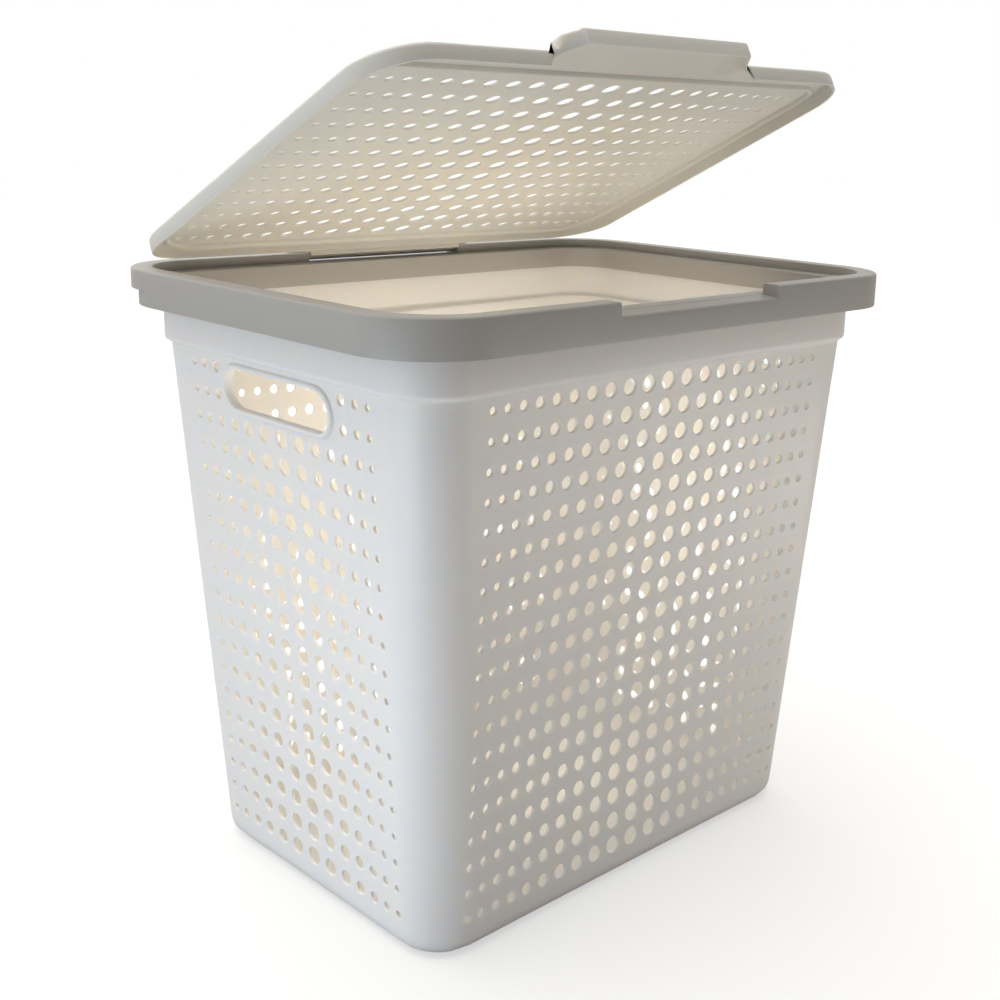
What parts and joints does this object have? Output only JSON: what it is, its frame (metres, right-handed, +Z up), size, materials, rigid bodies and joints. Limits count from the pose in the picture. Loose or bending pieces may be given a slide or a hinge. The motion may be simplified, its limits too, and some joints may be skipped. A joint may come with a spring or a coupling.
{
  "type": "laundry hamper with lid",
  "caption": "Tapered rectangular plastic laundry basket with rounded corners, slotted hand holds, a wide rim frame and a hinged lid with a front finger lip.",
  "frame": {"origin": "centre of the flat underside of the basket, on the floor it stands on", "axes": "+Z up, +X along the long side, -Y towards the front where the lid's lip is, +Y towards the hinge"},
  "size_m": [0.479, 0.35, 0.5913],
  "materials": {
    "basket_white": "satin injection-moulded polypropylene, faintly grained",
    "rim_grey": "satin warm grey moulded polypropylene",
    "lid_white": "thin translucent off-white polypropylene",
    "pin_white": "plain moulded rod"
  },
  "bodies": {
    "basket": {"basket_body": "basket_white", "rim_frame": "rim_grey", "hinge_pin": "pin_white"},
    "lid": {"lid": "lid_white"}
  },
  "joints": [
    {"name": "lid_hinge", "type": "hinge", "parent": "basket", "child": "lid", "pos_m": [0, 0.1686, 0.428], "axis": [-1, 0, 0], "range_deg": [-26, 74]}
  ]
}
